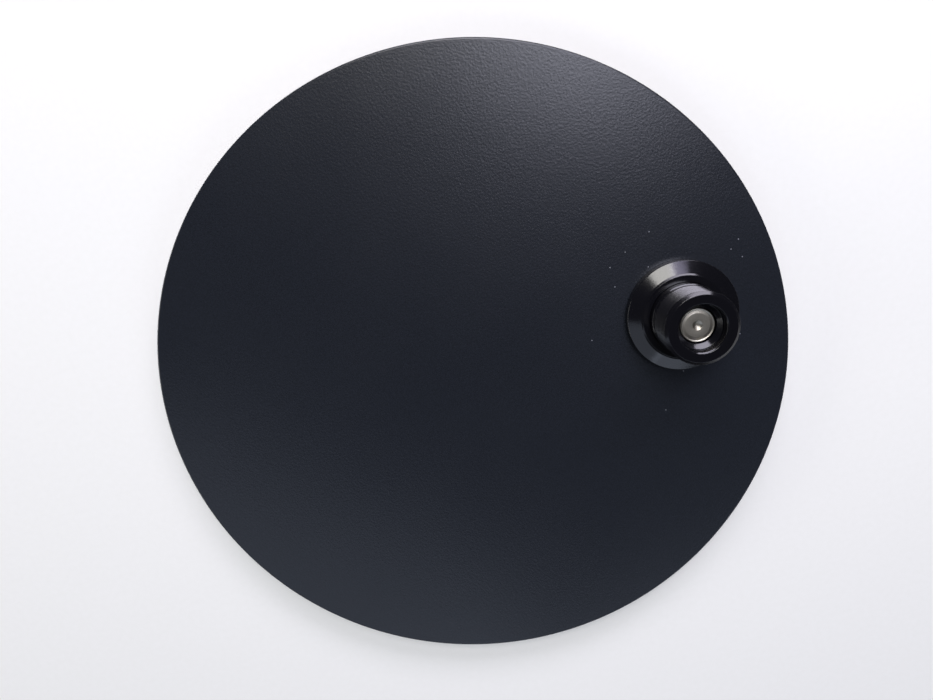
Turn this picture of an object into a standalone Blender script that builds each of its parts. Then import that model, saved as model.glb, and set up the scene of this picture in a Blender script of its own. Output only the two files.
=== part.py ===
"""Round weighted stand base with an off-centre swivel post.

A heavy disc stands on rubber feet. Near its edge a bolt, pushed up from a recess in the underside, pulls
a fixed column down onto the disc. A sleeve turns round the column between two thrust washers, a wave
spring under it gives it drag, and a cap ring on the column's end keeps it on. An upright tube drops over
the sleeve and the column's register, and stands on the ledge of the trim flange.

Metres, +Z up. The origin is under the disc's centre, on the surface that the feet stand on, and the post
stands on the +X side. Radii and heights build outwards and upwards from the values below.
"""
from math import cos, pi, sin

import bmesh
import bpy

MM = 0.001

# Clearances
GAP = 0.3 * MM                     # between two pieces that seat on, or run in, one another
MERGE = 0.001 * MM                 # points closer than this are one point

# Disc
PLATE_DIAMETER = 250.0 * MM
PLATE_THICKNESS = 7.0 * MM
PLATE_EDGE_RADIUS = 0.8 * MM
POST_OFFSET = 84.5 * MM            # from the disc's centre to the post's axis

# Feet
FOOT_COUNT = 6
FOOT_DIAMETER = 18.0 * MM
FOOT_HEIGHT = 2.5 * MM
FOOT_INSET = 16.0 * MM             # from the disc's edge to a foot's centre
FOOT_EDGE_RADIUS = 0.6 * MM

# Bolt, its washer and the cover, all in the disc's underside recess
BOLT_DIAMETER = 12.7 * MM
BOLT_HEAD_RIM = 4.4 * MM           # how far the head stands out past the shank
BOLT_HEAD_HEIGHT = 2.0 * MM
BOLT_EDGE = 0.3 * MM               # chamfer round the bolt's end
BOLT_RIM_WIDTH = 0.8 * MM          # from the bolt's side in to the bottom of the groove in its end
BOLT_GROOVE_SLOPE = 1.05 * MM      # from there in to the flat of the end
BOLT_GROOVE_DEPTH = 0.45 * MM
BOLT_SOCKET_WIDTH = 8.0 * MM       # across the flats
BOLT_SOCKET_DEPTH = 4.0 * MM
BOLT_END_DEPTH = 5.9 * MM          # from the cap's top down to the bolt's end
DRILL_DIAMETER = 3.6 * MM          # centre-drilled dimple in the bolt's end
DRILL_DEPTH = 1.3 * MM
LOCK_WASHER_THICKNESS = 1.0 * MM
LOCK_WASHER_WIDTH = 3.0 * MM
LOCK_WASHER_SLIT = 1.2 * MM
COVER_THICKNESS = 0.5 * MM

# Fixed column
CORE_WALL = 3.0 * MM               # round the bolt
CORE_END_RIM = 1.3 * MM            # flat left on the column's end, round its countersink
COUNTERSINK_DEPTH = 1.6 * MM
COUNTERSINK_FOOT = 0.1 * MM        # step between the countersink's foot and the bolt hole
REGISTER_STEP = 0.1 * MM           # how far the register stands out past the sleeve
REGISTER_HEIGHT = 10.35 * MM       # above the disc

# Dowels between the column and the disc
DOWEL_COUNT = 2
DOWEL_DIAMETER = 2.5 * MM
DOWEL_RISE = 3.5 * MM              # length inside the column
DOWEL_FLOOR = 0.8 * MM             # metal left under a dowel in the disc
DOWEL_FROM_BOLT = 3.85 * MM        # from the bolt's side to a dowel's centre

# Trim flange
FLANGE_LIP_HEIGHT = 4.1 * MM
FLANGE_CONE_RISE = 2.4 * MM
FLANGE_CONE_WIDTH = 5.3 * MM
TUBE_SEAT_WIDTH = 2.3 * MM         # flat ledge that the upright tube stands on

# Sleeve and its bush
BUSH_WALL = 1.0 * MM
SLEEVE_WALL = 2.15 * MM            # round the bush
SLEEVE_HEIGHT = 14.1 * MM
SLEEVE_SKIRT = 0.9 * MM            # wall round the lower washer and the spring
SLEEVE_COLLAR = 1.2 * MM           # wall round the cap's neck

# Washers and spring round the column's journal
WASHER_THICKNESS = 0.5 * MM
SPRING_THICKNESS = 0.4 * MM
SPRING_HEIGHT = 1.2 * MM           # over its waves
SPRING_WAVES = 3

# Cap ring
CAP_RIM_HEIGHT = 0.85 * MM
CAP_CHAMFER_RISE = 0.7 * MM
CAP_CHAMFER_WIDTH = 1.15 * MM
CAP_NECK_LENGTH = 6.8 * MM
CAP_ENGAGEMENT = 3.75 * MM         # length of the neck that is screwed onto the column
MOUTH_CHAMFER = 0.5 * MM
CAP_SHOULDER = 1.0 * MM            # ledge inside the cap that bears on the column's end

# Facets
PLATE_SEGMENTS = 128
ROUND_SEGMENTS = 48
SMALL_SEGMENTS = 24
PIN_SEGMENTS = 16

# Radii from the post's axis, outwards
BOLT_RADIUS = BOLT_DIAMETER / 2
BOLT_HOLE_RADIUS = BOLT_RADIUS + GAP
BOLT_HEAD_RADIUS = BOLT_RADIUS + BOLT_HEAD_RIM
RECESS_RADIUS = BOLT_HEAD_RADIUS + 2 * GAP
JOURNAL_RADIUS = BOLT_HOLE_RADIUS + CORE_WALL
RUNNING_RADIUS = JOURNAL_RADIUS + GAP
BUSH_RADIUS = RUNNING_RADIUS + BUSH_WALL
SLEEVE_BORE_RADIUS = BUSH_RADIUS + GAP
SLEEVE_RADIUS = SLEEVE_BORE_RADIUS + SLEEVE_WALL
SKIRT_RADIUS = SLEEVE_RADIUS - SLEEVE_SKIRT
COLLAR_RADIUS = SLEEVE_RADIUS - SLEEVE_COLLAR
REGISTER_RADIUS = SLEEVE_RADIUS + REGISTER_STEP
FLANGE_BORE_RADIUS = REGISTER_RADIUS + GAP
TUBE_SEAT_RADIUS = FLANGE_BORE_RADIUS + TUBE_SEAT_WIDTH
FLANGE_RADIUS = TUBE_SEAT_RADIUS + FLANGE_CONE_WIDTH
MOUTH_RADIUS = JOURNAL_RADIUS - CAP_SHOULDER
DOWEL_CIRCLE = BOLT_RADIUS + DOWEL_FROM_BOLT

# Heights above the floor, upwards
PLATE_BOTTOM = FOOT_HEIGHT + GAP
PLATE_TOP = PLATE_BOTTOM + PLATE_THICKNESS
HEAD_BOTTOM = PLATE_BOTTOM + COVER_THICKNESS + GAP
LOCK_WASHER_BOTTOM = HEAD_BOTTOM + BOLT_HEAD_HEIGHT + GAP
RECESS_TOP = LOCK_WASHER_BOTTOM + LOCK_WASHER_THICKNESS + GAP

# Heights above the disc, upwards
SEAT_TOP = FLANGE_LIP_HEIGHT + FLANGE_CONE_RISE
SLEEVE_BOTTOM = REGISTER_HEIGHT + GAP
LOWER_WASHER_BOTTOM = REGISTER_HEIGHT + GAP
SPRING_BOTTOM = LOWER_WASHER_BOTTOM + WASHER_THICKNESS + GAP
LOWER_SHOULDER = SPRING_BOTTOM + SPRING_HEIGHT + GAP
SLEEVE_TOP = SLEEVE_BOTTOM + SLEEVE_HEIGHT
CAP_RIM_BOTTOM = SLEEVE_TOP + GAP
CAP_TOP = CAP_RIM_BOTTOM + CAP_RIM_HEIGHT
CAP_NECK_BOTTOM = CAP_RIM_BOTTOM - CAP_NECK_LENGTH
CORE_TOP = CAP_NECK_BOTTOM + CAP_ENGAGEMENT
UPPER_WASHER_BOTTOM = CAP_NECK_BOTTOM - GAP - WASHER_THICKNESS
UPPER_SHOULDER = UPPER_WASHER_BOTTOM - GAP
BOLT_TOP = CAP_TOP - BOLT_END_DEPTH


# Tools

def clear_scene():
    """Empty the file that Blender opened with."""
    for thing in list(bpy.data.objects):
        bpy.data.objects.remove(thing, do_unlink=True)


def finish(name, colour, roughness, metallic):
    """Return a plain material of that colour."""
    material = bpy.data.materials.new(name)
    material.use_nodes = True
    shader = material.node_tree.nodes["Principled BSDF"]
    shader.inputs["Base Color"].default_value = (*colour, 1.0)
    shader.inputs["Roughness"].default_value = roughness
    shader.inputs["Metallic"].default_value = metallic
    return material


def holder(name, x, z):
    """Return an empty on the axis that a group of pieces shares."""
    empty = bpy.data.objects.new(name, None)
    empty.location = (x, 0.0, z)
    bpy.context.scene.collection.objects.link(empty)
    return empty


def add_object(name, bm, parent, material=None):
    """Turn a bmesh into an object, smooth on its round faces."""
    mesh = bpy.data.meshes.new(name)
    bm.to_mesh(mesh)
    bm.free()
    mesh.shade_smooth()
    mesh.set_sharp_from_angle(angle=pi / 6)
    if material:
        mesh.materials.append(material)
    piece = bpy.data.objects.new(name, mesh)
    piece.parent = parent
    bpy.context.scene.collection.objects.link(piece)
    return piece


def spin_outline(outline, segments, closed=True):
    """Spin (radius, height) points once round Z. An open outline runs from the axis to the axis."""
    bm = bmesh.new()
    points = [bm.verts.new((radius, 0.0, height)) for radius, height in outline]
    lines = [bm.edges.new(pair) for pair in zip(points, points[1:])]
    if closed:
        lines.append(bm.edges.new((points[-1], points[0])))
    bmesh.ops.spin(bm, geom=points + lines, cent=(0, 0, 0), axis=(0, 0, 1), angle=2 * pi,
                   steps=segments, use_merge=True)
    bmesh.ops.remove_doubles(bm, verts=bm.verts, dist=MERGE)
    bmesh.ops.recalc_face_normals(bm, faces=bm.faces)
    return bm


def ring_outline(inner, outer, bottom, top):
    """Outline of a plain ring."""
    return [(inner, bottom), (outer, bottom), (outer, top), (inner, top)]


def rod(radius, bottom, top, segments, x=0.0, y=0.0):
    """A plain round bar, standing at (x, y)."""
    bm = bmesh.new()
    bmesh.ops.create_cone(bm, cap_ends=True, segments=segments, radius1=radius, radius2=radius,
                          depth=top - bottom)
    bmesh.ops.translate(bm, verts=bm.verts, vec=(x, y, (bottom + top) / 2))
    return bm


def break_edges(piece, width, segments=1):
    """Bevel a piece's sharp edges."""
    bevel = piece.modifiers.new("broken_edges", "BEVEL")
    bevel.width = width
    bevel.segments = segments
    bevel.limit_method = "ANGLE"
    bevel.angle_limit = pi / 5


def cut(piece, name, bm, parent):
    """Take a shape out of a piece. The cutter stays as a wire guide."""
    cutter = add_object(name, bm, parent)
    cutter.hide_render = True
    cutter.display_type = "WIRE"
    boolean = piece.modifiers.new(name, "BOOLEAN")
    boolean.operation = "DIFFERENCE"
    boolean.solver = "EXACT"
    boolean.object = cutter


def dowel_places():
    """Centre of each dowel, from the post's axis."""
    turns = [2 * pi * index / DOWEL_COUNT + pi / 2 for index in range(DOWEL_COUNT)]
    return [(DOWEL_CIRCLE * cos(turn), DOWEL_CIRCLE * sin(turn)) for turn in turns]


# The disc and what stands under it

def make_base_plate(floor, post_foot):
    """Steel disc, with a recess and a hole for the bolt and two blind holes for the dowels."""
    coat = finish("textured_powder_coat", (0.016, 0.018, 0.024), 0.55, 0.0)
    bm = rod(PLATE_DIAMETER / 2, PLATE_BOTTOM, PLATE_TOP, PLATE_SEGMENTS)
    plate = add_object("base_plate", bm, floor, coat)
    break_edges(plate, PLATE_EDGE_RADIUS, segments=3)
    below = PLATE_BOTTOM - PLATE_TOP - GAP
    above = GAP
    step = RECESS_TOP - PLATE_TOP
    stepped_hole = [(0.0, below), (RECESS_RADIUS, below), (RECESS_RADIUS, step),
                    (BOLT_HOLE_RADIUS, step), (BOLT_HOLE_RADIUS, above), (0.0, above)]
    cut(plate, "bolt_hole", spin_outline(stepped_hole, ROUND_SEGMENTS, closed=False), post_foot)
    for index, (x, y) in enumerate(dowel_places(), start=1):
        hole = rod(DOWEL_DIAMETER / 2 + GAP, step + DOWEL_FLOOR, above, PIN_SEGMENTS, x, y)
        cut(plate, f"dowel_hole_{index}", hole, post_foot)


def make_feet(floor):
    """Rubber feet on one circle near the disc's edge."""
    rubber = finish("black_rubber", (0.02, 0.02, 0.02), 0.85, 0.0)
    circle = PLATE_DIAMETER / 2 - FOOT_INSET
    for index in range(FOOT_COUNT):
        turn = 2 * pi * (index + 0.5) / FOOT_COUNT
        bm = rod(FOOT_DIAMETER / 2, 0.0, FOOT_HEIGHT, SMALL_SEGMENTS)
        foot = add_object(f"foot_{index + 1}", bm, floor, rubber)
        foot.location = (circle * cos(turn), circle * sin(turn), 0.0)
        break_edges(foot, FOOT_EDGE_RADIUS)


def make_recess_cover(floor_under_post):
    """Thin disc that closes the recess, flush with the disc's underside."""
    plastic = finish("cover_plastic", (0.03, 0.03, 0.03), 0.6, 0.0)
    bm = rod(RECESS_RADIUS - GAP, PLATE_BOTTOM, PLATE_BOTTOM + COVER_THICKNESS, ROUND_SEGMENTS)
    add_object("recess_cover", bm, floor_under_post, plastic)


# What pulls the post down

def make_pivot_bolt(post_foot):
    """Turned bolt: low head with a hexagon socket, plain shank, grooved and centre-drilled end."""
    steel = finish("zinc_plated_steel", (0.62, 0.62, 0.60), 0.3, 1.0)
    head_bottom = HEAD_BOTTOM - PLATE_TOP
    head_top = head_bottom + BOLT_HEAD_HEIGHT
    groove_radius = BOLT_RADIUS - BOLT_RIM_WIDTH
    outline = [(0.0, head_bottom), (BOLT_HEAD_RADIUS, head_bottom), (BOLT_HEAD_RADIUS, head_top),
               (BOLT_RADIUS, head_top), (BOLT_RADIUS, BOLT_TOP - BOLT_EDGE),
               (BOLT_RADIUS - BOLT_EDGE, BOLT_TOP), (groove_radius, BOLT_TOP - BOLT_GROOVE_DEPTH),
               (groove_radius - BOLT_GROOVE_SLOPE, BOLT_TOP), (DRILL_DIAMETER / 2, BOLT_TOP),
               (0.0, BOLT_TOP - DRILL_DEPTH)]
    bolt = add_object("pivot_bolt", spin_outline(outline, ROUND_SEGMENTS, closed=False), post_foot, steel)
    socket_radius = BOLT_SOCKET_WIDTH / 2 / cos(pi / 6)
    socket = rod(socket_radius, head_bottom - GAP, head_bottom + BOLT_SOCKET_DEPTH, 6)
    cut(bolt, "bolt_socket", socket, post_foot)


def make_lock_washer(post_foot):
    """Split washer between the bolt's head and the disc."""
    steel = finish("spring_steel", (0.35, 0.35, 0.36), 0.35, 1.0)
    bottom = LOCK_WASHER_BOTTOM - PLATE_TOP
    top = bottom + LOCK_WASHER_THICKNESS
    outline = ring_outline(BOLT_HOLE_RADIUS, BOLT_HOLE_RADIUS + LOCK_WASHER_WIDTH, bottom, top)
    washer = add_object("lock_washer", spin_outline(outline, ROUND_SEGMENTS), post_foot, steel)
    reach = BOLT_HOLE_RADIUS + 2 * LOCK_WASHER_WIDTH
    slit = bmesh.new()
    bmesh.ops.create_cube(slit, size=1.0)
    bmesh.ops.scale(slit, verts=slit.verts, vec=(reach, LOCK_WASHER_SLIT, top - bottom + 2 * GAP))
    bmesh.ops.translate(slit, verts=slit.verts, vec=(reach / 2, 0.0, (bottom + top) / 2))
    cut(washer, "washer_slit", slit, post_foot)


def make_dowel_pins(post_foot):
    """Pins that stop the column from turning on the disc."""
    steel = finish("hardened_steel", (0.45, 0.45, 0.46), 0.25, 1.0)
    bottom = RECESS_TOP - PLATE_TOP + DOWEL_FLOOR + GAP
    for index, (x, y) in enumerate(dowel_places(), start=1):
        pin = add_object(f"dowel_pin_{index}", rod(DOWEL_DIAMETER / 2, bottom, DOWEL_RISE, PIN_SEGMENTS),
                         post_foot, steel)
        pin.location = (x, y, 0.0)


# The fixed parts of the post

def make_hub_flange(post_foot):
    """Trim flange: lip, shallow cone, and the ledge that the tube stands on."""
    gloss = finish("flange_gloss_black", (0.012, 0.012, 0.016), 0.12, 0.0)
    outline = [(FLANGE_BORE_RADIUS, GAP), (FLANGE_RADIUS, GAP), (FLANGE_RADIUS, FLANGE_LIP_HEIGHT),
               (TUBE_SEAT_RADIUS, SEAT_TOP), (FLANGE_BORE_RADIUS, SEAT_TOP)]
    add_object("hub_flange", spin_outline(outline, ROUND_SEGMENTS), post_foot, gloss)


def make_post_core(post_foot):
    """Fixed column: a wide register below, and the journal that the sleeve turns on above it."""
    gloss = finish("core_gloss_black", (0.012, 0.012, 0.016), 0.15, 0.0)
    countersink_foot = CORE_TOP - COUNTERSINK_DEPTH
    outline = [(BOLT_HOLE_RADIUS, GAP), (REGISTER_RADIUS, GAP), (REGISTER_RADIUS, REGISTER_HEIGHT),
               (JOURNAL_RADIUS, REGISTER_HEIGHT), (JOURNAL_RADIUS, CORE_TOP),
               (JOURNAL_RADIUS - CORE_END_RIM, CORE_TOP),
               (BOLT_HOLE_RADIUS + COUNTERSINK_FOOT, countersink_foot),
               (BOLT_HOLE_RADIUS, countersink_foot)]
    core = add_object("post_core", spin_outline(outline, ROUND_SEGMENTS), post_foot, gloss)
    for index, (x, y) in enumerate(dowel_places(), start=1):
        hole = rod(DOWEL_DIAMETER / 2 + GAP, 0.0, DOWEL_RISE + GAP, PIN_SEGMENTS, x, y)
        cut(core, f"core_dowel_hole_{index}", hole, post_foot)


def make_cap_ring(post_foot):
    """Chamfered rim with a threaded neck, screwed down onto the column's end."""
    gloss = finish("cap_gloss_black", (0.012, 0.012, 0.016), 0.12, 0.0)
    neck_radius = COLLAR_RADIUS - GAP
    thread_radius = JOURNAL_RADIUS + GAP
    bearing = CORE_TOP + GAP
    outline = [(thread_radius, CAP_NECK_BOTTOM), (neck_radius, CAP_NECK_BOTTOM),
               (neck_radius, CAP_RIM_BOTTOM), (SLEEVE_RADIUS, CAP_RIM_BOTTOM),
               (SLEEVE_RADIUS, CAP_TOP - CAP_CHAMFER_RISE), (SLEEVE_RADIUS - CAP_CHAMFER_WIDTH, CAP_TOP),
               (MOUTH_RADIUS + MOUTH_CHAMFER, CAP_TOP), (MOUTH_RADIUS, CAP_TOP - MOUTH_CHAMFER),
               (MOUTH_RADIUS, bearing), (thread_radius, bearing)]
    add_object("cap_ring", spin_outline(outline, ROUND_SEGMENTS), post_foot, gloss)


# What the sleeve turns on

def make_thrust_washers(post_foot):
    """Low-friction washers under and over the sleeve, round the journal."""
    polymer = finish("thrust_polymer", (0.75, 0.73, 0.68), 0.45, 0.0)
    places = [("lower_thrust_washer", LOWER_WASHER_BOTTOM, SKIRT_RADIUS),
              ("upper_thrust_washer", UPPER_WASHER_BOTTOM, COLLAR_RADIUS)]
    for name, bottom, wall in places:
        outline = ring_outline(RUNNING_RADIUS, wall - GAP, bottom, bottom + WASHER_THICKNESS)
        add_object(name, spin_outline(outline, ROUND_SEGMENTS), post_foot, polymer)


def make_wave_spring(post_foot):
    """Wavy steel ring that presses the sleeve up against the upper washer."""
    steel = finish("wave_spring_steel", (0.4, 0.4, 0.42), 0.3, 1.0)
    outline = ring_outline(RUNNING_RADIUS, SKIRT_RADIUS - GAP, -SPRING_THICKNESS / 2, SPRING_THICKNESS / 2)
    bm = spin_outline(outline, ROUND_SEGMENTS)
    swing = (SPRING_HEIGHT - SPRING_THICKNESS) / 2
    step = 2 * pi / ROUND_SEGMENTS
    for segment in range(ROUND_SEGMENTS):
        turn = segment * step
        spoke = [v for v in bm.verts if abs(v.co.x * sin(turn) - v.co.y * cos(turn)) < MERGE * 10
                 and v.co.x * cos(turn) + v.co.y * sin(turn) > 0]
        bmesh.ops.translate(bm, verts=spoke, vec=(0, 0, swing * cos(SPRING_WAVES * turn)))
    bmesh.ops.translate(bm, verts=bm.verts, vec=(0, 0, SPRING_BOTTOM + SPRING_HEIGHT / 2))
    add_object("wave_spring", bm, post_foot, steel)


def make_swivel_sleeve(turning):
    """Turned sleeve that the upright tube sits over, free to turn round the column."""
    black = finish("turned_black_sleeve", (0.014, 0.014, 0.018), 0.22, 0.0)
    outline = [(SKIRT_RADIUS, SLEEVE_BOTTOM), (SLEEVE_RADIUS, SLEEVE_BOTTOM), (SLEEVE_RADIUS, SLEEVE_TOP),
               (COLLAR_RADIUS, SLEEVE_TOP), (COLLAR_RADIUS, UPPER_SHOULDER),
               (SLEEVE_BORE_RADIUS, UPPER_SHOULDER), (SLEEVE_BORE_RADIUS, LOWER_SHOULDER),
               (SKIRT_RADIUS, LOWER_SHOULDER)]
    add_object("swivel_sleeve", spin_outline(outline, ROUND_SEGMENTS), turning, black)


def make_sleeve_bush(turning):
    """Plain bearing inside the sleeve."""
    bronze = finish("sintered_bronze", (0.48, 0.30, 0.14), 0.4, 1.0)
    outline = ring_outline(RUNNING_RADIUS, BUSH_RADIUS, LOWER_SHOULDER + GAP, UPPER_SHOULDER - GAP)
    add_object("sleeve_bush", spin_outline(outline, ROUND_SEGMENTS), turning, bronze)


def main():
    clear_scene()
    floor = holder("disc_axis", 0.0, 0.0)
    floor_under_post = holder("post_axis_on_floor", POST_OFFSET, 0.0)
    post_foot = holder("post_axis_on_disc", POST_OFFSET, PLATE_TOP)
    turning = holder("sleeve_axis", POST_OFFSET, PLATE_TOP)

    make_base_plate(floor, post_foot)
    make_feet(floor)
    make_recess_cover(floor_under_post)
    make_pivot_bolt(post_foot)
    make_lock_washer(post_foot)
    make_dowel_pins(post_foot)
    make_hub_flange(post_foot)
    make_post_core(post_foot)
    make_cap_ring(post_foot)
    make_thrust_washers(post_foot)
    make_wave_spring(post_foot)
    make_swivel_sleeve(turning)
    make_sleeve_bush(turning)


main()
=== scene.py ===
# %% [markdown]
# # A weighted stand base with a swivel post
#
# This lesson dresses a finished mechanical model. The model is a heavy steel disc with a short post near its
# edge: a trim flange, a fixed column, a sleeve that turns round it, a cap ring, and a bolt that holds it all
# down. The frame gives every piece's true place and size. Each piece is turned again here with softer edges
# and finer steps, and then gets the finish that its real counterpart leaves the workshop with.

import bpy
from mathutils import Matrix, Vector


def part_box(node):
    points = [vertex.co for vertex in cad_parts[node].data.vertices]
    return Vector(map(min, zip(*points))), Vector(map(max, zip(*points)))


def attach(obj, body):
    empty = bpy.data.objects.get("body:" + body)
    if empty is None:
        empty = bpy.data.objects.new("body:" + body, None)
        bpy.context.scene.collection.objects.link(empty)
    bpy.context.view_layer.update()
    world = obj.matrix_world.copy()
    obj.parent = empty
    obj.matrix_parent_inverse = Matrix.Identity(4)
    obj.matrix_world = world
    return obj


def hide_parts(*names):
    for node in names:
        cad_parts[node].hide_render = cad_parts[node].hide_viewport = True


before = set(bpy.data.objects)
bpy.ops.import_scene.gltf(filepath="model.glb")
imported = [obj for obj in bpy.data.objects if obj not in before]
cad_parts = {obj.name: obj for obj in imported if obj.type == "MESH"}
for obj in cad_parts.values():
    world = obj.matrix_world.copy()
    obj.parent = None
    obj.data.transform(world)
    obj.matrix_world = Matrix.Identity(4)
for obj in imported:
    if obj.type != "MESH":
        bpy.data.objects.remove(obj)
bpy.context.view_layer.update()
print("pieces in the mechanical model:", len(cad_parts))

# %% Modules and the millimetre
from math import cos, pi, radians

import bmesh
import bpy
from mathutils import Matrix, Vector

MM = 0.001                         # one millimetre in metres, which Blender counts in

# %% [markdown]
# ## The camera
#
# A stand base like this is best read from above, so the camera hangs just over a quarter of a metre above
# the table and leans a little. From so near, the post is seen partly from the side while the disc stays
# almost round. A short lens, like a phone's, gives that strong change of size with height.

# %% Hang the camera over the disc
CAMERA_PLACE = (21.1 * MM, 77.2 * MM, 266.1 * MM)
CAMERA_TURN = (radians(-14.99), radians(-0.18), radians(-17.77))
SENSOR_WIDTH = 36.0                # millimetres, as Blender counts it
LENS_LENGTH = 26.0
NEAREST_SEEN = 5 * MM

camera = bpy.data.objects.new("camera", bpy.data.cameras.new("camera"))
camera.data.sensor_width = SENSOR_WIDTH
camera.data.lens = LENS_LENGTH
camera.data.clip_start = NEAREST_SEEN
camera.location = CAMERA_PLACE
camera.rotation_euler = CAMERA_TURN
bpy.context.scene.collection.objects.link(camera)
bpy.context.scene.camera = camera
print("camera height in millimetres:", round(camera.location.z / MM, 1))

# %% [markdown]
# ## Colours and nodes
#
# A paint maker's colour card gives display values, and the shader needs linear light, so one function turns
# a hex code into linear numbers. Another small function adds one node, sets what it is told to, and joins
# its sockets to the nodes that feed it. Every material below is built from these two.

# %% Turn a hex code into linear light
def linear(hex_code):
    """Return a hex code such as 8A8D8F as linear red, green, blue and alpha."""
    shares = [int(hex_code[place:place + 2], 16) / 255 for place in (0, 2, 4)]
    # the sRGB curve is a short straight foot and then a power
    return [s / 12.92 if s <= 0.04045 else ((s + 0.055) / 1.055) ** 2.4 for s in shares] + [1.0]


print("a mid grey in linear light:", round(linear("808080")[0], 3))

# %% Add one node
def add_node(tree, kind, settings=None, links=None):
    """Add a node. Settings name its properties or sockets, links name sockets and what feeds them."""
    added = tree.nodes.new("ShaderNode" + kind)
    for name, value in (settings or {}).items():
        if isinstance(name, str) and hasattr(added, name):
            setattr(added, name, value)
        else:
            added.inputs[name].default_value = value
    for name, source in (links or {}).items():
        tree.links.new(source, added.inputs[name])
    return added


# %% [markdown]
# A Mix node has one set of sockets for numbers, one for vectors and one for colours, all with the same
# names, so its colour sockets are called by number: 0 is the factor, 6 and 7 are the two colours, and the
# result is output 2.

# %% Name the Mix node's colour sockets
FACTOR, FIRST, SECOND, MIXED = 0, 6, 7, 2
print("a Mix node's colours go in at", FIRST, "and", SECOND, "and come out at", MIXED)


# %% Start and close a material
def start_material(name):
    """Return a new material, its empty node tree, and where each point is on the object."""
    material = bpy.data.materials.new(name)
    material.use_nodes = True
    tree = material.node_tree
    tree.nodes.clear()
    return material, tree, add_node(tree, "TexCoord").outputs["Object"]


def close_material(material, settings, links):
    """Feed one surface shader to the material's output."""
    tree = material.node_tree
    shader = add_node(tree, "BsdfPrincipled", settings, links)
    add_node(tree, "OutputMaterial", None, {"Surface": shader.outputs["BSDF"]})
    print(material.name, "has", len(tree.nodes), "nodes")


# %% [markdown]
# ## The floor
#
# The base lies on a white table top. A large flat disc of matt white laminate stands for it, far wider than
# the view, so that its edge never shows. Laminate is pressed against a plate with a fine tooth, which gives
# it a very faint grain, and it is a little glossier than paper. Far from the disc, and only where the camera
# looks straight at it, it passes into the pale wall behind, as a studio's sweep does.

# %% Mix the white laminate
LAMINATE_GRAIN = 2.5 * MM
WALL_TONE = "F4F4F4"
WALL_GLOW = 0.85
SWEEP_START = 0.5                  # metres from the disc's centre
SWEEP_END = 1.8

laminate, tree, place = start_material("matt_white_laminate")
grain = add_node(tree, "TexNoise", {"Scale": 1 / LAMINATE_GRAIN, "Detail": 3.0}, {"Vector": place})
tone = add_node(tree, "Mix", {"data_type": "RGBA", FIRST: linear("ECECE5"), SECOND: linear("F0F0EA")},
                {FACTOR: grain.outputs["Fac"]})
table = add_node(tree, "BsdfPrincipled", {"Roughness": 0.7, "Specular IOR Level": 0.3},
                 {"Base Color": tone.outputs[MIXED]})
sweep = add_node(tree, "Emission", {"Color": linear(WALL_TONE), "Strength": WALL_GLOW})
from_middle = add_node(tree, "VectorMath", {"operation": "LENGTH"}, {0: place})
far = add_node(tree, "MapRange", {"From Min": SWEEP_START, "From Max": SWEEP_END},
               {"Value": from_middle.outputs["Value"]})
seen = add_node(tree, "Math", {"operation": "MULTIPLY"},
                {0: far.outputs["Result"], 1: add_node(tree, "LightPath").outputs["Is Camera Ray"]})
floor_shader = add_node(tree, "MixShader", None, {"Fac": seen.outputs[0], 1: table.outputs["BSDF"],
                                                  2: sweep.outputs["Emission"]})
add_node(tree, "OutputMaterial", None, {"Surface": floor_shader.outputs[0]})
print(laminate.name, "has", len(tree.nodes), "nodes")

# %% Lay the floor
FLOOR_RADIUS = 6.0                 # metres
FLOOR_SIDES = 96
FLOOR_DROP = 0.05 * MM             # keeps the table top clear of the feet's faces

bm = bmesh.new()
bmesh.ops.create_circle(bm, cap_ends=True, segments=FLOOR_SIDES, radius=FLOOR_RADIUS)
bmesh.ops.translate(bm, verts=bm.verts, vec=(0, 0, -FLOOR_DROP))
floor_mesh = bpy.data.meshes.new("floor")
bm.to_mesh(floor_mesh)
bm.free()
floor_mesh.materials.append(laminate)
floor = bpy.data.objects.new("floor", floor_mesh)
bpy.context.scene.collection.objects.link(floor)
print("floor radius in metres:", FLOOR_RADIUS)

# %% [markdown]
# ## The light
#
# Gloss black shows nothing but reflections, so the room's bright places matter more than how bright it is.
# Seven soft panels stand for them: a window at the back, a thin curtain and a patch of sky beside it, the
# low part of the window, and faint walls on the left and at the front. The space over the camera stays dark,
# and the disc reflects that as its dark middle. Each panel is given by where it is seen from the disc.

# %% Hang the soft panels
PANEL_DISTANCE = 1.3               # metres from the disc's centre
PANELS = {
    # name: (azimuth and elevation in degrees, width and height in metres, watts, colour)
    "window": (79, 56, 0.50, 0.44, 7.4, "FFFDF9"),
    "curtain": (54, 53, 0.34, 0.40, 2.2, "E4DEFF"),
    "low_window": (66, 28, 1.15, 0.42, 12.0, "F2EEFF"),
    "patch_of_sky": (43, 67, 0.40, 0.40, 4.4, "EDEEFF"),
    "left_wall": (178, 16, 1.20, 0.40, 4.8, "FFFFFF"),
    "near_left_wall": (226, 45, 1.10, 0.62, 1.7, "DFEAFF"),
    "near_right_wall": (278, 32, 1.15, 0.55, 2.7, "DFEAFF"),
}

for name, (azimuth, elevation, width, height, watts, colour) in PANELS.items():
    light = bpy.data.lights.new(name, "AREA")
    light.shape, light.size, light.size_y = "RECTANGLE", width, height
    light.energy, light.color = watts, linear(colour)[:3]
    panel = bpy.data.objects.new(name, light)
    turned = Matrix.Rotation(radians(azimuth), 3, "Z") @ Matrix.Rotation(radians(-elevation), 3, "Y")
    away = turned @ Vector((1, 0, 0))
    panel.location = away * PANEL_DISTANCE
    panel.rotation_euler = away.to_track_quat("Z", "Y").to_euler()
    panel.visible_camera = False
    bpy.context.scene.collection.objects.link(panel)
print("soft panels:", len(PANELS))

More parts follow.
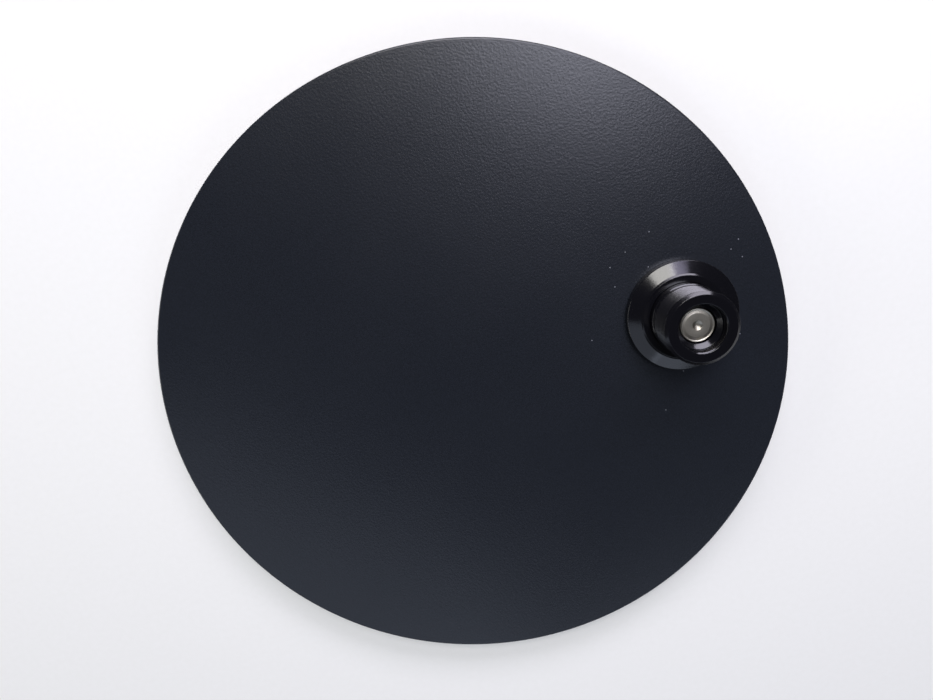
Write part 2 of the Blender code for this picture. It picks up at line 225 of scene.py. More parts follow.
# %% [markdown]
# The rest of the room is nearly dark for the object, so the blacks stay deep. The camera itself sees a pale
# wall beyond the floor, and a plain display transform keeps the white table white.

# %% Fill the room
ROOM_GLOW = 0.04

room = bpy.data.worlds.new("room")
room.use_nodes = True
bpy.context.scene.world = room
tree = room.node_tree
tree.nodes.clear()
glow = add_node(tree, "Background", {"Color": linear("DDE0E6"), "Strength": ROOM_GLOW})
wall = add_node(tree, "Background", {"Color": linear(WALL_TONE), "Strength": WALL_GLOW})
seen = add_node(tree, "MixShader", None, {"Fac": add_node(tree, "LightPath").outputs["Is Camera Ray"],
                                          1: glow.outputs[0], 2: wall.outputs[0]})
add_node(tree, "OutputWorld", None, {"Surface": seen.outputs[0]})
bpy.context.scene.view_settings.view_transform = "Standard"
print("room glow:", ROOM_GLOW)

# %% [markdown]
# ## Textured powder coat
#
# The disc is steel plate under a polyester powder coat. The powder melts in the oven and pulls itself into
# small rounded pebbles, nearly a millimetre across and a few hundredths high. To the eye that gives a soft,
# slightly leathery sheen that breaks up where light grazes it, and a slate tint. Two patterns make the
# pebbles, one for their size and one for the finer crawl between them, which mottles the tint too. A few
# grains of dust lie round the foot of the post, where a cloth doesn't reach.

# %% Mix the powder coat
PEBBLE = 0.85 * MM
CRAWL = 0.45 * MM
PEBBLE_HEIGHT = 0.05 * MM
CRAWL_SHARE = 0.6                  # of the pebbles' height
CLOUD = 45 * MM                    # slow change in how the coat has flowed
DUST_SPACING = 3.5 * MM
DUST_SIZE = 0.085                  # share of the spacing
DUSTY_CELLS = 0.968                # cells whose own shade is above this hold a grain
DUST_REACH = 42 * MM               # from the post's axis


def axis_of(node):
    """Return where a round piece's upright axis meets height zero."""
    low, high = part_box(node)
    return Vector(((low.x + high.x) / 2, (low.y + high.y) / 2, 0.0))


POST_AXIS = axis_of("hub_flange")

powder_coat, tree, place = start_material("textured_polyester_powder_coat")
pebbles = add_node(tree, "TexVoronoi", {"feature": "SMOOTH_F1", "Scale": 1 / PEBBLE, "Smoothness": 0.8},
                   {"Vector": place})
crawl = add_node(tree, "TexNoise", {"Scale": 1 / CRAWL, "Detail": 2.0, "Roughness": 0.6}, {"Vector": place})
height = add_node(tree, "Math", {"operation": "MULTIPLY_ADD", 1: CRAWL_SHARE},
                  {0: crawl.outputs["Fac"], 2: pebbles.outputs["Distance"]})
bump = add_node(tree, "Bump", {"Strength": 0.6, "Distance": PEBBLE_HEIGHT}, {"Height": height.outputs[0]})
cloud = add_node(tree, "TexNoise", {"Scale": 1 / CLOUD, "Detail": 3.0}, {"Vector": place})
slate = add_node(tree, "Mix", {"data_type": "RGBA", FIRST: linear("05070A"), SECOND: linear("22262E")},
                 {FACTOR: crawl.outputs["Fac"]})
cells = add_node(tree, "TexVoronoi", {"voronoi_dimensions": "2D", "Scale": 1 / DUST_SPACING},
                 {"Vector": place})
near = add_node(tree, "MapRange", {"From Min": DUST_SIZE, "From Max": 0.0},
                {"Value": cells.outputs["Distance"]})
shade = add_node(tree, "SeparateColor", None, {0: cells.outputs["Color"]})
dusty = add_node(tree, "Math", {"operation": "GREATER_THAN", 1: DUSTY_CELLS}, {0: shade.outputs[0]})
grain = add_node(tree, "Math", {"operation": "MULTIPLY"}, {0: near.outputs[0], 1: dusty.outputs[0]})
from_post = add_node(tree, "VectorMath", {"operation": "DISTANCE", 1: POST_AXIS}, {0: place})
close_by = add_node(tree, "Math", {"operation": "LESS_THAN", 1: DUST_REACH}, {0: from_post.outputs["Value"]})
dust = add_node(tree, "Math", {"operation": "MULTIPLY"}, {0: grain.outputs[0], 1: close_by.outputs[0]})
colour = add_node(tree, "Mix", {"data_type": "RGBA", SECOND: linear("9A9DA3")},
                  {FACTOR: dust.outputs[0], FIRST: slate.outputs[MIXED]})
sheen = add_node(tree, "MapRange", {"To Min": 0.26, "To Max": 0.32}, {"Value": cloud.outputs["Fac"]})
close_material(powder_coat, {"IOR": 1.5}, {"Base Color": colour.outputs[MIXED],
                                           "Roughness": sheen.outputs["Result"],
                                           "Normal": bump.outputs["Normal"]})

# %% [markdown]
# ## Marks of the lathe
#
# Every round piece of the post was cut on a lathe, and the tool leaves a fine spiral, so its surface is even
# along a circle and changes across it. A noise that is told only a point's distance from the axis and its
# height gives just that, on flat ends, cones and walls alike. A real feed is about a tenth of a millimetre,
# which is too fine to show, so the marks are drawn coarser.

# %% Draw the lathe's marks
def lathe_marks(tree, place, feed):
    """Return a noise that is the same all round the post's axis."""
    from_axis = add_node(tree, "Mapping", {"Location": -POST_AXIS}, {"Vector": place})
    across = add_node(tree, "SeparateXYZ", None, {0: from_axis.outputs[0]})
    level = add_node(tree, "CombineXYZ", None, {0: across.outputs[0], 1: across.outputs[1]})
    radius = add_node(tree, "VectorMath", {"operation": "LENGTH"}, {0: level.outputs[0]})
    section = add_node(tree, "CombineXYZ", None, {0: radius.outputs["Value"], 1: across.outputs[2]})
    return add_node(tree, "TexNoise", {"Scale": 1 / feed, "Detail": 2.0, "Roughness": 0.7},
                    {"Vector": section.outputs[0]}).outputs["Fac"]


print("post axis in millimetres:", round(POST_AXIS.x / MM, 2), round(POST_AXIS.y / MM, 2))

# %% [markdown]
# ## Gloss black enamel
#
# The flange, the column and the cap are turned steel, sprayed with gloss black stoving enamel. The enamel is
# thick enough to flow level, but the lathe's marks still telegraph through, and it dries with a slight
# orange peel. To the eye that is a deep black with bright, slightly fuzzy reflections that are drawn out
# round the axis. Tubes have been slid over the post, so here and there a tiny chip shows bare metal.

# %% Mix the enamel
ENAMEL_FEED = 0.5 * MM             # drawn five times coarser than the real marks
MARK_HEIGHT = 0.012 * MM
ORANGE_PEEL = 2.2 * MM
PEEL_HEIGHT = 0.03 * MM
CHIP_SPACING = 2.2 * MM
CHIP_SIZE = 0.06                   # share of the spacing
CHIPPED_CELLS = 0.88               # cells whose own shade is above this have a chip

enamel, tree, place = start_material("gloss_black_enamel_on_turned_steel")
marks = lathe_marks(tree, place, ENAMEL_FEED)
peel = add_node(tree, "TexNoise", {"Scale": 1 / ORANGE_PEEL, "Detail": 2.0}, {"Vector": place})
peel_bump = add_node(tree, "Bump", {"Strength": 0.5, "Distance": PEEL_HEIGHT},
                     {"Height": peel.outputs["Fac"]})
bump = add_node(tree, "Bump", {"Strength": 0.5, "Distance": MARK_HEIGHT},
                {"Height": marks, "Normal": peel_bump.outputs["Normal"]})
smear = add_node(tree, "MapRange", {"To Min": 0.10, "To Max": 0.20}, {"Value": marks})
cells = add_node(tree, "TexVoronoi", {"Scale": 1 / CHIP_SPACING}, {"Vector": place})
near = add_node(tree, "Math", {"operation": "LESS_THAN", 1: CHIP_SIZE}, {0: cells.outputs["Distance"]})
shade = add_node(tree, "SeparateColor", None, {0: cells.outputs["Color"]})
chosen = add_node(tree, "Math", {"operation": "GREATER_THAN", 1: CHIPPED_CELLS}, {0: shade.outputs[0]})
specks = add_node(tree, "Math", {"operation": "MULTIPLY"}, {0: near.outputs[0], 1: chosen.outputs[0]})
colour = add_node(tree, "Mix", {"data_type": "RGBA", FIRST: linear("0B0B0F"), SECOND: linear("B9BCC2")},
                  {FACTOR: specks.outputs[0]})
close_material(enamel, {"IOR": 1.52}, {"Base Color": colour.outputs[MIXED],
                                       "Roughness": smear.outputs["Result"],
                                       "Normal": bump.outputs["Normal"]})

# %% [markdown]
# ## Black anodised aluminium
#
# The sleeve is aluminium bar, turned and then anodised black. Anodising grows a thin glassy oxide that holds
# the dye and doesn't level anything, so the lathe's marks stay crisp. To the eye it is black like the
# enamel beside it, with finer and sharper lines round it in the highlight. The dyed oxide, not the metal,
# is what reflects, so it is not metallic and its IOR is that of aluminium oxide.

# %% Mix the anodised aluminium
SLEEVE_FEED = 0.4 * MM             # drawn four times coarser than the real marks
SLEEVE_MARK_HEIGHT = 0.03 * MM

anodised, tree, place = start_material("black_anodised_turned_aluminium")
marks = lathe_marks(tree, place, SLEEVE_FEED)
bump = add_node(tree, "Bump", {"Strength": 0.7, "Distance": SLEEVE_MARK_HEIGHT}, {"Height": marks})
smear = add_node(tree, "MapRange", {"To Min": 0.16, "To Max": 0.30}, {"Value": marks})
colour = add_node(tree, "Mix", {"data_type": "RGBA", FIRST: linear("0A0A0E"), SECOND: linear("121218")},
                  {FACTOR: marks})
close_material(anodised, {"IOR": 1.65}, {"Base Color": colour.outputs[MIXED],
                                         "Roughness": smear.outputs["Result"],
                                         "Normal": bump.outputs["Normal"]})

# %% [markdown]
# ## Zinc plated steel
#
# The bolt was turned from bar and zinc plated. Zinc is a soft bluish white, and after some handling it dulls
# in patches to a warmer grey. The rings of the cutting tool on its end stay visible under the plating.

# %% Mix the zinc plate
BOLT_FEED = 0.35 * MM              # drawn coarser than the real marks
BOLT_MARK_HEIGHT = 0.03 * MM
DULL_PATCH = 3.0 * MM

zinc, tree, place = start_material("zinc_plated_turned_steel")
marks = lathe_marks(tree, place, BOLT_FEED)
patch = add_node(tree, "TexNoise", {"Scale": 1 / DULL_PATCH, "Detail": 4.0, "Roughness": 0.65},
                 {"Vector": place})
colour = add_node(tree, "Mix", {"data_type": "RGBA", FIRST: linear("C4C1B6"), SECOND: linear("948D7C")},
                  {FACTOR: patch.outputs["Fac"]})
dull = add_node(tree, "MapRange", {"To Min": 0.30, "To Max": 0.48}, {"Value": patch.outputs["Fac"]})
bump = add_node(tree, "Bump", {"Strength": 0.6, "Distance": BOLT_MARK_HEIGHT}, {"Height": marks})
close_material(zinc, {"Metallic": 1.0}, {"Base Color": colour.outputs[MIXED],
                                         "Roughness": dull.outputs["Result"],
                                         "Normal": bump.outputs["Normal"]})

# %% [markdown]
# ## Finishes that the disc and the sleeve hide
#
# The small parts inside are seen only from below or with the sleeve off, but each one still is what it is.
# Spring steel is hardened and oiled, so it is darker than zinc and a little blotchy. Sintered bronze is
# pressed powder, so it is matt and pitted with pores that hold oil. Acetal is a slippery white plastic, and
# its washers are turned from bar, so they carry the lathe's marks.

# %% Mix the spring steel
OIL_BLOTCH = 4.0 * MM

spring_steel, tree, place = start_material("oiled_spring_steel")
blotch = add_node(tree, "TexNoise", {"Scale": 1 / OIL_BLOTCH, "Detail": 4.0}, {"Vector": place})
colour = add_node(tree, "Mix", {"data_type": "RGBA", FIRST: linear("8C8C90"), SECOND: linear("5E5F66")},
                  {FACTOR: blotch.outputs["Fac"]})
oiled = add_node(tree, "MapRange", {"To Min": 0.22, "To Max": 0.48}, {"Value": blotch.outputs["Fac"]})
close_material(spring_steel, {"Metallic": 1.0}, {"Base Color": colour.outputs[MIXED],
                                                 "Roughness": oiled.outputs["Result"]})

# %% Mix the sintered bronze
PORE = 0.35 * MM                   # drawn coarser than real pores, which are under a tenth of this
PORE_DEPTH = 0.03 * MM

bronze, tree, place = start_material("oil_filled_sintered_bronze")
pores = add_node(tree, "TexNoise", {"Scale": 1 / PORE, "Detail": 3.0, "Roughness": 0.7}, {"Vector": place})
pits = add_node(tree, "MapRange", {"From Min": 0.52, "From Max": 0.66}, {"Value": pores.outputs["Fac"]})
colour = add_node(tree, "Mix", {"data_type": "RGBA", FIRST: linear("B8884E"), SECOND: linear("5A3D22")},
                  {FACTOR: pits.outputs["Result"]})
bump = add_node(tree, "Bump", {"Strength": 0.5, "Distance": PORE_DEPTH}, {"Height": pores.outputs["Fac"]})
close_material(bronze, {"Metallic": 1.0, "Roughness": 0.42}, {"Base Color": colour.outputs[MIXED],
                                                              "Normal": bump.outputs["Normal"]})

# %% Mix the acetal
WASHER_FEED = 0.3 * MM             # drawn three times coarser than the real marks
WASHER_MARK_HEIGHT = 0.01 * MM

acetal, tree, place = start_material("machined_white_acetal")
marks = lathe_marks(tree, place, WASHER_FEED)
colour = add_node(tree, "Mix", {"data_type": "RGBA", FIRST: linear("E6E2D8"), SECOND: linear("DAD5C8")},
                  {FACTOR: marks})
bump = add_node(tree, "Bump", {"Strength": 0.4, "Distance": WASHER_MARK_HEIGHT}, {"Height": marks})
close_material(acetal, {"Roughness": 0.4, "IOR": 1.48}, {"Base Color": colour.outputs[MIXED],
                                                         "Normal": bump.outputs["Normal"]})

# %% [markdown]
# ## Under the disc
#
# The cover over the bolt's head is punched from black ABS sheet, whose face comes from a spark-eroded roller
# with a fine, even grain. The feet are moulded rubber: matt, never quite black, and paler in patches.

# %% Mix the ABS sheet and the rubber
SPARK_GRAIN = 0.4 * MM
SPARK_DEPTH = 0.04 * MM
RUBBER_GRAIN = 0.6 * MM
RUBBER_DEPTH = 0.05 * MM
BLOOM = 7 * MM                     # size of the pale patches that come to the surface of rubber

abs_sheet, tree, place = start_material("spark_grained_abs_sheet")
grain = add_node(tree, "TexNoise", {"Scale": 1 / SPARK_GRAIN, "Detail": 2.0}, {"Vector": place})
colour = add_node(tree, "Mix", {"data_type": "RGBA", FIRST: linear("1B1B1D"), SECOND: linear("242427")},
                  {FACTOR: grain.outputs["Fac"]})
bump = add_node(tree, "Bump", {"Strength": 0.6, "Distance": SPARK_DEPTH}, {"Height": grain.outputs["Fac"]})
close_material(abs_sheet, {"Roughness": 0.55, "IOR": 1.53}, {"Base Color": colour.outputs[MIXED],
                                                             "Normal": bump.outputs["Normal"]})

rubber, tree, place = start_material("moulded_black_rubber")
grain = add_node(tree, "TexNoise", {"Scale": 1 / RUBBER_GRAIN, "Detail": 4.0}, {"Vector": place})
bloom = add_node(tree, "TexNoise", {"Scale": 1 / BLOOM, "Detail": 3.0}, {"Vector": place})
colour = add_node(tree, "Mix", {"data_type": "RGBA", FIRST: linear("17171A"), SECOND: linear("2E2E31")},
                  {FACTOR: bloom.outputs["Fac"]})
bump = add_node(tree, "Bump", {"Strength": 0.5, "Distance": RUBBER_DEPTH}, {"Height": grain.outputs["Fac"]})
close_material(rubber, {"Roughness": 0.82, "IOR": 1.52}, {"Base Color": colour.outputs[MIXED],
                                                          "Normal": bump.outputs["Normal"]})

# %% [markdown]
# ## Turning a round piece
#
# On a lathe a tool follows an outline while the work spins. Blender's spin operator does the same: it turns
# a wire outline once round an axis. The outline's corners are rounded first, with a bevel on its points,
# because no real edge is perfectly sharp and it is the small round that catches the light.

# %% Turn an outline into a solid
LATHE_STEPS = 192
CORNER_STEPS = 4
JOIN = 0.001 * MM                  # points closer than this are one point


def turn(outline, rounds=(), steps=LATHE_STEPS):
    """Round the numbered corners of a (radius, height) outline, then spin it once round Z."""
    bm = bmesh.new()
    corners = [bm.verts.new((radius, 0.0, height)) for radius, height in outline]
    for pair in zip(corners, corners[1:]):
        bm.edges.new(pair)
    if outline[0][0] > 0:          # a ring's outline closes on itself, a solid's ends on the axis
        bm.edges.new((corners[-1], corners[0]))
    for width, numbers in rounds:
        bmesh.ops.bevel(bm, geom=[corners[number] for number in numbers], offset=width, affect="VERTICES",
                        segments=CORNER_STEPS, profile=0.5, material=-1)
    bmesh.ops.spin(bm, geom=bm.verts[:] + bm.edges[:], cent=(0, 0, 0), axis=(0, 0, 1), angle=2 * pi,
                   steps=steps, use_merge=True)
    bmesh.ops.remove_doubles(bm, verts=bm.verts, dist=JOIN)
    bmesh.ops.recalc_face_normals(bm, faces=bm.faces)
    return bm


print("one step of the lathe is", 360 / LATHE_STEPS, "degrees")

# %% [markdown]
# Each finished solid moves to its axis inside its own mesh, so the object itself stays at the origin. Its
# normals are weighted by face area, which keeps wide flat faces flat to the eye and lets the small rounds
# carry all the bend. Then it is hung on the empty of the body it rides on and takes its finish, and the
# mechanical piece it stands for is hidden.

# %% Put a piece in its place
SHARP = radians(40)                # edges that bend more than this stay crisp
WIDE_FACES_WIN = 100               # the modifier's strongest pull towards the wide faces


def place_piece(name, bm, axis, material, body, node):
    """Make an object of a solid, hang it on its body and hide the mechanical piece it stands for."""
    bmesh.ops.translate(bm, verts=bm.verts, vec=axis)
    mesh = bpy.data.meshes.new(name)
    bm.to_mesh(mesh)
    bm.free()
    mesh.shade_smooth()
    mesh.set_sharp_from_angle(angle=SHARP)
    mesh.materials.append(material)
    piece = bpy.data.objects.new(name, mesh)
    bpy.context.scene.collection.objects.link(piece)
    weighted = piece.modifiers.new("weighted_normals", "WEIGHTED_NORMAL")
    weighted.weight = WIDE_FACES_WIN
    weighted.keep_sharp = True
    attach(piece, body)
    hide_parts(node)
    print(name, "has", len(mesh.polygons), "faces")


def reach(node):
    """Return a round piece's outer radius, its lowest height and its highest height."""
    low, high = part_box(node)
    return (high.y - low.y) / 2, low.z, high.z


print("disc radius in millimetres:", round(reach("base_plate")[0] / MM, 1))

# %% [markdown]
# ## Cutting
#
# Three pieces aren't round all the way: the disc has a recess and holes off its centre, the bolt's head a
# hexagon socket, and the lock washer a slit. On the real ones a drill, a broach and a saw take that metal
# out. Here a boolean does, with a cutter that is thrown away afterwards.

# %% Cut a shape out of a solid
ORIGIN = Vector((0.0, 0.0, 0.0))


def cut(bm, cutter):
    """Return the first bmesh with the second taken out of it."""
    parts = []
    for solid in (bm, cutter):
        mesh = bpy.data.meshes.new("cutting")
        solid.to_mesh(mesh)
        solid.free()
        parts.append(bpy.data.objects.new("cutting", mesh))
        bpy.context.scene.collection.objects.link(parts[-1])
    boolean = parts[0].modifiers.new("cut", "BOOLEAN")
    boolean.operation, boolean.solver, boolean.object = "DIFFERENCE", "EXACT", parts[1]
    result = bmesh.new()
    result.from_object(parts[0], bpy.context.evaluated_depsgraph_get())
    for part in parts:
        bpy.data.objects.remove(part)
    return result


def rod(radius, bottom, top, sides, axis=ORIGIN):
    """Return a straight round or many-sided bar."""
    bm = bmesh.new()
    bmesh.ops.create_cone(bm, cap_ends=True, segments=sides, radius1=radius, radius2=radius,
                          depth=top - bottom)
    bmesh.ops.translate(bm, verts=bm.verts, vec=(axis.x, axis.y, (bottom + top) / 2))
    return bm


# %% [markdown]
# ## The disc
#
# A blank is cut from 7 mm plate, its edge is rolled to a small round, and the recess and holes for the post
# are bored before it is coated. The recess under the post has room for the bolt's head and its washer.

# %% Turn and bore the disc
DISC_EDGE = 0.8 * MM
DISC_STEPS = 384
PIN_HOLE_SIDES = 32
GAP = 0.3 * MM                     # between two pieces that seat on one another
SHANK = 6.35 * MM                  # the bolt's radius
HOLE = SHANK + GAP

disc_radius, disc_bottom, disc_top = reach("base_plate")
recess_radius = reach("pivot_bolt")[0] + 2 * GAP
recess_top = reach("lock_washer")[2] + GAP
bm = turn([(0.0, disc_bottom), (disc_radius, disc_bottom), (disc_radius, disc_top), (0.0, disc_top)],
          [(DISC_EDGE, (1, 2))], steps=DISC_STEPS)
bore = turn([(0.0, disc_bottom - GAP), (recess_radius, disc_bottom - GAP), (recess_radius, recess_top),
             (HOLE, recess_top), (HOLE, disc_top + GAP), (0.0, disc_top + GAP)])
bmesh.ops.translate(bore, verts=bore.verts, vec=POST_AXIS)
bm = cut(bm, bore)
for node in ("dowel_pin_1", "dowel_pin_2"):
    radius, bottom, top = reach(node)
    bm = cut(bm, rod(radius + GAP, bottom - GAP, disc_top + GAP, PIN_HOLE_SIDES, axis_of(node)))
place_piece("steel_disc", bm, ORIGIN, powder_coat, "base", "base_plate")

# %% [markdown]
# ## The trim flange
#
# The flange has a low upright lip, a shallow cone, and a narrow flat ledge that the upright tube stands on.
# Between the cone and the ledge runs a steeper chamfer. The edges are only just broken, so each one shows as
# a thin line.

# %% Turn the trim flange
LIP_HEIGHT = 3.9 * MM
CONE_WIDTH = 5.3 * MM
SEAT_CHAMFER = 0.6 * MM            # how wide the chamfer looks from above
SEAT_RISE = 0.44 * MM              # and how high it is
FLANGE_CLEARANCE = 0.12 * MM       # the flange is a close fit round the column
EASED_EDGE = 0.2 * MM              # an edge that has been rounded off
BROKEN_EDGE = 0.08 * MM            # an edge that a file has only just touched

radius, bottom, top = reach("hub_flange")
ledge_radius = radius - CONE_WIDTH
bore = reach("post_core")[0] + FLANGE_CLEARANCE
bm = turn([(bore, bottom), (radius, bottom), (radius, disc_top + LIP_HEIGHT),
           (ledge_radius + SEAT_CHAMFER, top - SEAT_RISE), (ledge_radius, top), (bore, top)],
          [(EASED_EDGE, (2,)), (BROKEN_EDGE, (0, 1, 3, 4, 5))])
place_piece("trim_flange", bm, POST_AXIS, enamel, "base", "hub_flange")

# %% [markdown]
# ## The column
#
# The column is what everything else on the post is built round. Its wide foot, the register, centres the
# upright tube. Above it a slimmer journal carries the sleeve, and its end is countersunk down to the bolt.

# %% Turn the column
REGISTER_HEIGHT = 10.35 * MM
JOURNAL_WALL = 3.0 * MM
JOURNAL = HOLE + JOURNAL_WALL      # the radius that the sleeve runs on
END_RIM = 1.3 * MM
COUNTERSINK = 1.45 * MM
COUNTERSINK_FOOT = 0.1 * MM        # flat ring between the countersink and the hole
LEAD_WIDTH = 0.75 * MM             # chamfer that leads the tube onto the register
LEAD_RISE = 0.54 * MM

radius, bottom, column_top = reach("post_core")
step = disc_top + REGISTER_HEIGHT
foot = column_top - COUNTERSINK
bm = turn([(HOLE, bottom), (radius, bottom), (radius, step - LEAD_RISE), (radius - LEAD_WIDTH, step),
           (JOURNAL, step), (JOURNAL, column_top), (JOURNAL - END_RIM, column_top),
           (HOLE + COUNTERSINK_FOOT, foot), (HOLE, foot)],
          [(BROKEN_EDGE, (2, 3, 6)), (EASED_EDGE, (5,))])
place_piece("fixed_column", bm, POST_AXIS, enamel, "base", "post_core")

# %% [markdown]
# ## The sleeve
#
# The sleeve is the part that turns. Fine grooves are cut round its outside with a pointed tool, so that the
# tube slides over it without sticking. One side of each groove looks up at the light, and so an upright wall
# shines from above. Each groove is real here: the outline's wall is drawn like the edge of a saw.

# %% Turn the sleeve
GROOVE_PITCH = 0.5 * MM
GROOVE_DEPTH = 0.24 * MM
GROOVE_TOP = 0.17 * MM             # height of a groove's side that looks up
PLAIN_BAND = 1.1 * MM              # left smooth at each end of the sleeve
SLEEVE_RELIEF = 0.35 * MM          # the sleeve runs this much inside the cap and the register

radius, bottom, top = reach("swivel_sleeve")
radius -= SLEEVE_RELIEF
bush_low, bush_high = reach("sleeve_bush")[1:]
grooves = int((top - bottom - 2 * PLAIN_BAND) / GROOVE_PITCH)
start = (bottom + top - grooves * GROOVE_PITCH) / 2
wall = [(radius, start)]
for groove in range(grooves):
    foot = start + groove * GROOVE_PITCH
    wall += [(radius - GROOVE_DEPTH, foot + GROOVE_TOP), (radius, foot + GROOVE_PITCH)]
skirt = reach("lower_thrust_washer")[0] + GAP
collar = reach("upper_thrust_washer")[0] + GAP
inside = reach("sleeve_bush")[0] + GAP
bm = turn([(skirt, bottom), (radius, bottom)] + wall
          + [(radius, top), (collar, top), (collar, bush_high + GAP), (inside, bush_high + GAP),
             (inside, bush_low - GAP), (skirt, bush_low - GAP)])
place_piece("turning_sleeve", bm, POST_AXIS, anodised, "swivel", "swivel_sleeve")
print("grooves round the sleeve:", grooves)

# %% [markdown]
# ## The cap
#
# The cap screws down onto the column and keeps the sleeve on. Its neck is hidden in the sleeve, and only its
# rim shows: a chamfer outside to lead the tube on, and a smaller one inside round the mouth.

# %% Turn the cap
CAP_RIM = 0.85 * MM
CAP_CHAMFER_RISE = 0.78 * MM
CAP_CHAMFER_WIDTH = 1.1 * MM
MOUTH_CHAMFER = 0.5 * MM
MOUTH_RISE = 0.4 * MM
MOUTH_OVERLAP = 1.0 * MM           # how far the cap reaches in over the column's end
MOUTH = JOURNAL - MOUTH_OVERLAP
CAP_EDGE = 0.03 * MM               # the low side of the rim is too thin for a wider one

radius, bottom, top = reach("cap_ring")
neck = collar - GAP
bearing = column_top + GAP
bm = turn([(JOURNAL + GAP, bottom), (neck, bottom), (neck, top - CAP_RIM), (radius, top - CAP_RIM),
           (radius, top - CAP_CHAMFER_RISE), (radius - CAP_CHAMFER_WIDTH, top), (MOUTH + MOUTH_CHAMFER, top),
           (MOUTH, top - MOUTH_RISE), (MOUTH, bearing), (JOURNAL + GAP, bearing)],
          [(CAP_EDGE, (3, 4)), (BROKEN_EDGE, (5, 6, 7)), (EASED_EDGE, (0, 1))])
place_piece("mouth_cap", bm, POST_AXIS, enamel, "base", "cap_ring")

# %% [markdown]
# ## The bolt
#
# The bolt comes up from below and holds the column down. It was faced in the lathe, which left a shallow
# groove inside its rim, and the lathe's centre left the small cone in the middle of its end. The socket for
# the key is in the head, under the disc.

# %% Turn the bolt
HEAD_HEIGHT = 2.0 * MM
HEAD_ROUND = 0.3 * MM
BOLT_EDGE = 0.3 * MM
OUTER_SLOPE = 0.8 * MM             # from the shank's wall to the bottom of the groove
INNER_SLOPE = 1.05 * MM            # from there to the flat
GROOVE_BOTTOM = SHANK - OUTER_SLOPE
FLAT_EDGE = GROOVE_BOTTOM - INNER_SLOPE
END_GROOVE = 0.2 * MM
CENTRE_HOLE = 1.8 * MM
CENTRE_DEPTH = 1.3 * MM
KEY = 8.0 * MM                     # across the socket's flats
SOCKET = KEY / 2 / cos(pi / 6)     # from its middle to a corner
SOCKET_SIDES = 6
SOCKET_DEPTH = 4.0 * MM

radius, bottom, top = reach("pivot_bolt")
bm = turn([(0.0, bottom), (radius, bottom), (radius, bottom + HEAD_HEIGHT), (SHANK, bottom + HEAD_HEIGHT),
           (SHANK, top - BOLT_EDGE), (SHANK - BOLT_EDGE, top), (GROOVE_BOTTOM, top - END_GROOVE),
           (FLAT_EDGE, top), (CENTRE_HOLE, top), (0.0, top - CENTRE_DEPTH)],
          [(HEAD_ROUND, (1, 2)), (BROKEN_EDGE, (4, 5, 6, 7, 8))])
bm = cut(bm, rod(SOCKET, bottom - GAP, bottom + SOCKET_DEPTH, SOCKET_SIDES))
place_piece("holding_bolt", bm, POST_AXIS, zinc, "base", "pivot_bolt")

# %% [markdown]
# ## What the sleeve turns on
#
# A bronze bush is pressed into the sleeve and runs on the journal. A white washer lies under it and another
# over it, and a wavy steel ring pushes the sleeve up against the upper one, which gives it an even drag.

# %% Turn the bush and the washers
def ring(node, inner, edge):
    """Turn a plain ring that fills a mechanical piece's height, with its four corners rounded."""
    outer, bottom, top = reach(node)
    return turn([(inner, bottom), (outer, bottom), (outer, top), (inner, top)], [(edge, (0, 1, 2, 3))])


RUNNING = JOURNAL + GAP            # the radius inside everything that runs on the journal
RING_ROUND = 0.12 * MM

place_piece("bronze_bush", ring("sleeve_bush", RUNNING, RING_ROUND), POST_AXIS, bronze, "swivel",
            "sleeve_bush")
for level in ("lower", "upper"):
    node = level + "_thrust_washer"
    place_piece(level + "_slip_washer", ring(node, RUNNING, RING_ROUND), POST_AXIS, acetal, "base",
                node)

# %% Turn the spring flat and press its waves
SPRING_THICKNESS = 0.4 * MM
SPRING_ROUND = 0.08 * MM
SPRING_WAVES = 3

outer, bottom, top = reach("wave_spring")
middle, half = (bottom + top) / 2, SPRING_THICKNESS / 2
bm = turn([(RUNNING, middle - half), (outer, middle - half),
           (outer, middle + half), (RUNNING, middle + half)], [(SPRING_ROUND, (0, 1, 2, 3))])
swing = (top - bottom) / 2 - half
for vertex in bm.verts:
    vertex.co.z += swing * cos(SPRING_WAVES * vertex.co.xy.angle_signed(Vector((1, 0))))
place_piece("wavy_spring", bm, POST_AXIS, spring_steel, "base", "wave_spring")

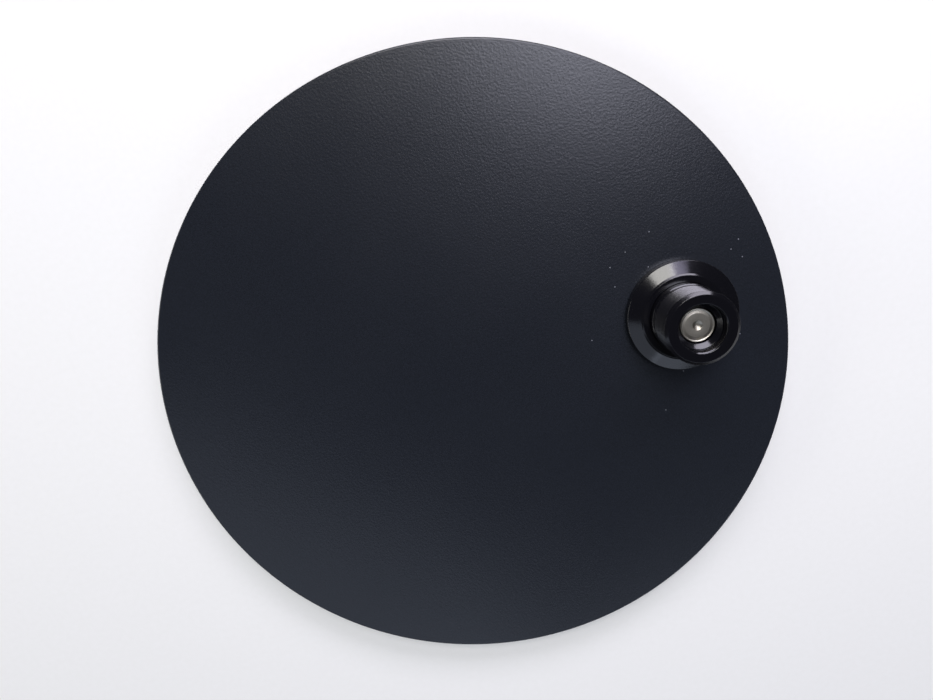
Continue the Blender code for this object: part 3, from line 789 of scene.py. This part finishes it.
# %% [markdown]
# ## What is under the disc
#
# A split washer bites into the head and the disc, and keeps the bolt from working loose. Two pins stop the
# column from turning on the disc. A thin cover closes the recess, and six feet keep the steel off the table.

# %% Cut the lock washer and round the pins
SLIT = 1.2 * MM
PIN_ROUND = 0.35 * MM
PIN_STEPS = 48

outer, bottom, top = reach("lock_washer")
bm = ring("lock_washer", HOLE, RING_ROUND)
saw = bmesh.new()
bmesh.ops.create_cube(saw, size=1.0)
bmesh.ops.scale(saw, verts=saw.verts, vec=(2 * outer, SLIT, 2 * (top - bottom)))
bmesh.ops.translate(saw, verts=saw.verts, vec=(outer, 0.0, (bottom + top) / 2))
place_piece("split_washer", cut(bm, saw), POST_AXIS, spring_steel, "base", "lock_washer")

for number in (1, 2):
    node = f"dowel_pin_{number}"
    radius, bottom, top = reach(node)
    bm = turn([(0.0, bottom), (radius, bottom), (radius, top), (0.0, top)], [(PIN_ROUND, (1, 2))],
              steps=PIN_STEPS)
    place_piece(f"steel_pin_{number}", bm, axis_of(node), spring_steel, "base", node)

# %% Punch the cover and mould the feet
radius, bottom, top = reach("recess_cover")
bm = turn([(0.0, bottom), (radius, bottom), (radius, top), (0.0, top)], [(RING_ROUND, (1, 2))])
place_piece("bolt_cover", bm, POST_AXIS, abs_sheet, "base", "recess_cover")

FOOT_ROUND = 0.6 * MM
FOOT_TOP_ROUND = 0.25 * MM
FOOT_STEPS = 96
FOOT_DRAFT = 0.4 * MM              # how much slimmer a foot is at the table than at the disc
FEET = 6

for number in range(1, FEET + 1):
    node = f"foot_{number}"
    radius, bottom, top = reach(node)
    bm = turn([(0.0, bottom), (radius - FOOT_DRAFT, bottom), (radius, top), (0.0, top)],
              [(FOOT_ROUND, (1,)), (FOOT_TOP_ROUND, (2,))], steps=FOOT_STEPS)
    place_piece(f"rubber_foot_{number}", bm, axis_of(node), rubber, "base", node)

# %% [markdown]
# ## Closing
#
# The dressed object has to fill the same box as the mechanical one.

# %% The end of the dressing
print("the dressing is finished")
